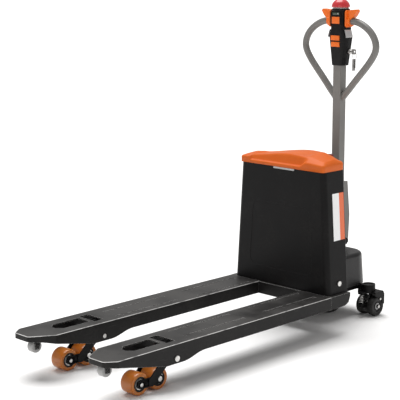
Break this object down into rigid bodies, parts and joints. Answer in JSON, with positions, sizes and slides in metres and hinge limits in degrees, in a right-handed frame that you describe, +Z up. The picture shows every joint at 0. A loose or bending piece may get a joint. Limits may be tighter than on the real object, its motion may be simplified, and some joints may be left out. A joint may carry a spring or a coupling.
{
  "type": "electric pallet truck",
  "caption": "Walk-behind pallet truck with lifting forks on tandem rollers, a battery housing, a steered hub-motor wheel, sprung castors and a folding tiller with a hand loop.",
  "frame": {"origin": "centre of the footprint on the floor, under the middle of the overall length and width", "axes": "+Z up, -Y out of the fork tips, +Y towards the operator, +X to the side that carries the key switch"},
  "size_m": [0.548, 1.59, 1.312],
  "materials": {
    "black_steel": "satin black powder coat",
    "fork_steel": "satin dark grey paint",
    "grey_steel": "satin grey paint",
    "orange_cover": "semi-gloss orange",
    "orange_touch": "semi-gloss orange",
    "black_moulding": "fine-textured black",
    "amber_tread": "translucent amber polyurethane",
    "black_tyre": "matt black rubber",
    "bright_steel": "zinc plated",
    "dark_casting": "painted casting",
    "red_dome": "gloss red",
    "light_grey": "light grey moulding",
    "label_film": "white film with an orange band",
    "battery_case": "dark grey case"
  },
  "bodies": {
    "chassis": {"chassis_frame": "black_steel", "steering_bearing": "black_steel", "lift_cylinder": "dark_casting", "power_pack": "dark_casting", "hood": "black_moulding"},
    "steering": {"drive_bracket": "black_steel", "drive_axle": "bright_steel", "steering_head": "grey_steel", "tiller_pin": "bright_steel"},
    "drive_wheel": {"drive_tyre": "black_tyre", "drive_hub": "dark_casting", "wheel_bolts": "bright_steel"},
    "tiller": {"tiller_bracket": "grey_steel", "tiller_pole": "grey_steel", "tiller_loop": "grey_steel", "head_front_shell": "black_moulding", "head_rear_shell": "black_moulding", "head_collar": "light_grey", "side_panels": "light_grey", "key_switch": "bright_steel"},
    "belly_button": {"belly_button": "red_dome"},
    "throttle": {"throttle": "orange_touch"},
    "horn_button": {"horn_button": "orange_touch"},
    "lift_button": {"lift_button": "orange_touch"},
    "lower_button": {"lower_button": "orange_touch"},
    "key": {"key": "bright_steel"},
    "key_ring": {"key_ring": "bright_steel"},
    "lid": {"lid": "orange_cover"},
    "stop_knob": {"stop_knob": "red_dome"},
    "torsion_shaft": {"torsion_shaft": "dark_casting"},
    "fork_frame": {"fork_left": "fork_steel", "fork_right": "fork_steel", "heel_frame": "black_steel", "headed_pins": "bright_steel", "battery_housing": "black_steel", "battery_pack": "battery_case", "side_labels": "label_film", "lift_ram": "bright_steel", "lid_hinge": "bright_steel", "stop_console": "black_steel"},
    "push_rod_left": {"push_rod_left": "dark_casting"},
    "roller_arm_left": {"roller_arm_left": "dark_casting"},
    "bogie_left": {"bogie_left": "dark_casting"},
    "load_roller_front_left": {"load_roller_front_left": "amber_tread"},
    "load_roller_rear_left": {"load_roller_rear_left": "amber_tread"},
    "entry_roller_left": {"entry_roller_left": "light_grey"},
    "castor_arm_left": {"castor_arm_left": "dark_casting"},
    "castor_wheels_left": {"castor_wheels_left": "black_tyre"},
    "castor_yoke_left": {"castor_yoke_left": "dark_casting", "castor_spring_left": "bright_steel"},
    "push_rod_right": {"push_rod_right": "dark_casting"},
    "roller_arm_right": {"roller_arm_right": "dark_casting"},
    "bogie_right": {"bogie_right": "dark_casting"},
    "load_roller_front_right": {"load_roller_front_right": "amber_tread"},
    "load_roller_rear_right": {"load_roller_rear_right": "amber_tread"},
    "entry_roller_right": {"entry_roller_right": "light_grey"},
    "castor_arm_right": {"castor_arm_right": "dark_casting"},
    "castor_wheels_right": {"castor_wheels_right": "black_tyre"},
    "castor_yoke_right": {"castor_yoke_right": "dark_casting", "castor_spring_right": "bright_steel"}
  },
  "joints": [
    {"name": "lift", "type": "slide", "parent": "chassis", "child": "fork_frame", "axis": [0, 0, 1], "range_m": [-0.082, 0.028]},
    {"name": "torsion_turn", "type": "hinge", "parent": "fork_frame", "child": "torsion_shaft", "pos_m": [0, 0.425, 0.207], "axis": [1, 0, 0], "range_deg": [-9.6, 27.8]},
    {"name": "steer", "type": "hinge", "parent": "chassis", "child": "steering", "pos_m": [0, 0.658, 0.2], "axis": [0, 0, 1], "range_deg": [-90, 90]},
    {"name": "drive_spin", "type": "hinge", "parent": "steering", "child": "drive_wheel", "pos_m": [0, 0.658, 0.105], "axis": [1, 0, 0], "continuous": true},
    {"name": "tiller_fold", "type": "hinge", "parent": "steering", "child": "tiller", "pos_m": [0, 0.745, 0.296], "axis": [-1, 0, 0], "range_deg": [0, 80], "stiffness_Nm_per_rad": 45, "springref_deg": -17.19},
    {"name": "throttle_turn", "type": "hinge", "parent": "tiller", "child": "throttle", "pos_m": [0, 0.717, 1.221], "axis": [1, 0, 0], "range_deg": [-25, 25], "stiffness_Nm_per_rad": 0.8},
    {"name": "belly_push", "type": "slide", "parent": "tiller", "child": "belly_button", "axis": [0, 0, -1], "range_m": [0, 0.006], "stiffness_N_per_m": 900, "springref_m": -0.004},
    {"name": "horn_push", "type": "slide", "parent": "tiller", "child": "horn_button", "axis": [0, 1, 0], "range_m": [0, 0.0025], "stiffness_N_per_m": 600, "springref_m": -0.002},
    {"name": "lift_push", "type": "slide", "parent": "tiller", "child": "lift_button", "axis": [0, 1, 0], "range_m": [0, 0.0025], "stiffness_N_per_m": 600, "springref_m": -0.002},
    {"name": "lower_push", "type": "slide", "parent": "tiller", "child": "lower_button", "axis": [0, 1, 0], "range_m": [0, 0.0025], "stiffness_N_per_m": 600, "springref_m": -0.002},
    {"name": "key_turn", "type": "hinge", "parent": "tiller", "child": "key", "pos_m": [0.046, 0.729, 1.097], "axis": [1, 0, 0], "range_deg": [0, 90]},
    {"name": "key_ring_swing", "type": "hinge", "parent": "key", "child": "key_ring", "pos_m": [0.067, 0.729, 1.0935], "axis": [1, 0, 0], "range_deg": [-15, 15]},
    {"name": "lid_open", "type": "hinge", "parent": "fork_frame", "child": "lid", "pos_m": [0, 0.3528, 0.6528], "axis": [1, 0, 0], "range_deg": [0, 100]},
    {"name": "stop_push", "type": "slide", "parent": "fork_frame", "child": "stop_knob", "axis": [0, 0, -1], "range_m": [0, 0.007]},
    {"name": "push_rod_travel_left", "type": "slide", "parent": "fork_frame", "child": "push_rod_left", "axis": [0, 1, 0], "range_m": [-0.0096, 0.0277]},
    {"name": "roller_arm_swing_left", "type": "hinge", "parent": "fork_frame", "child": "roller_arm_left", "pos_m": [-0.19, -0.487, 0.115], "axis": [1, 0, 0], "range_deg": [-46.2, 15.9]},
    {"name": "bogie_level_left", "type": "hinge", "parent": "roller_arm_left", "child": "bogie_left", "pos_m": [-0.19, -0.569, 0.04], "axis": [1, 0, 0], "range_deg": [-15.9, 46.2]},
    {"name": "roller_front_spin_left", "type": "hinge", "parent": "bogie_left", "child": "load_roller_front_left", "pos_m": [-0.19, -0.613, 0.04], "axis": [1, 0, 0], "continuous": true},
    {"name": "roller_rear_spin_left", "type": "hinge", "parent": "bogie_left", "child": "load_roller_rear_left", "pos_m": [-0.19, -0.525, 0.04], "axis": [1, 0, 0], "continuous": true},
    {"name": "entry_roller_spin_left", "type": "hinge", "parent": "fork_frame", "child": "entry_roller_left", "pos_m": [-0.19, -0.747, 0.118], "axis": [1, 0, 0], "continuous": true},
    {"name": "castor_swivel_left", "type": "hinge", "parent": "chassis", "child": "castor_yoke_left", "pos_m": [-0.165, 0.731, 0.1], "axis": [0, 0, 1], "continuous": true},
    {"name": "castor_spring_travel_left", "type": "hinge", "parent": "castor_yoke_left", "child": "castor_arm_left", "pos_m": [-0.165, 0.767, 0.084], "axis": [1, 0, 0], "range_deg": [-5, 5], "stiffness_Nm_per_rad": 400, "deforming": ["castor_spring_left"]},
    {"name": "castor_spin_left", "type": "hinge", "parent": "castor_arm_left", "child": "castor_wheels_left", "pos_m": [-0.165, 0.741, 0.042], "axis": [1, 0, 0], "continuous": true},
    {"name": "push_rod_travel_right", "type": "slide", "parent": "fork_frame", "child": "push_rod_right", "axis": [0, 1, 0], "range_m": [-0.0096, 0.0277]},
    {"name": "roller_arm_swing_right", "type": "hinge", "parent": "fork_frame", "child": "roller_arm_right", "pos_m": [0.19, -0.487, 0.115], "axis": [1, 0, 0], "range_deg": [-46.2, 15.9]},
    {"name": "bogie_level_right", "type": "hinge", "parent": "roller_arm_right", "child": "bogie_right", "pos_m": [0.19, -0.569, 0.04], "axis": [1, 0, 0], "range_deg": [-15.9, 46.2]},
    {"name": "roller_front_spin_right", "type": "hinge", "parent": "bogie_right", "child": "load_roller_front_right", "pos_m": [0.19, -0.613, 0.04], "axis": [1, 0, 0], "continuous": true},
    {"name": "roller_rear_spin_right", "type": "hinge", "parent": "bogie_right", "child": "load_roller_rear_right", "pos_m": [0.19, -0.525, 0.04], "axis": [1, 0, 0], "continuous": true},
    {"name": "entry_roller_spin_right", "type": "hinge", "parent": "fork_frame", "child": "entry_roller_right", "pos_m": [0.19, -0.747, 0.118], "axis": [1, 0, 0], "continuous": true},
    {"name": "castor_swivel_right", "type": "hinge", "parent": "chassis", "child": "castor_yoke_right", "pos_m": [0.165, 0.731, 0.1], "axis": [0, 0, 1], "continuous": true},
    {"name": "castor_spring_travel_right", "type": "hinge", "parent": "castor_yoke_right", "child": "castor_arm_right", "pos_m": [0.165, 0.767, 0.084], "axis": [1, 0, 0], "range_deg": [-5, 5], "stiffness_Nm_per_rad": 400, "deforming": ["castor_spring_right"]},
    {"name": "castor_spin_right", "type": "hinge", "parent": "castor_arm_right", "child": "castor_wheels_right", "pos_m": [0.165, 0.741, 0.042], "axis": [1, 0, 0], "continuous": true}
  ],
  "couplings": [
    {"joint": "torsion_turn", "follows": "lift", "rad_per_m": -5.88},
    {"joint": "push_rod_travel_left", "follows": "lift", "ratio": -0.335},
    {"joint": "roller_arm_swing_left", "follows": "lift", "rad_per_m": 9.79},
    {"joint": "bogie_level_left", "follows": "lift", "rad_per_m": -9.79},
    {"joint": "push_rod_travel_right", "follows": "lift", "ratio": -0.335},
    {"joint": "roller_arm_swing_right", "follows": "lift", "rad_per_m": 9.79},
    {"joint": "bogie_level_right", "follows": "lift", "rad_per_m": -9.79}
  ]
}
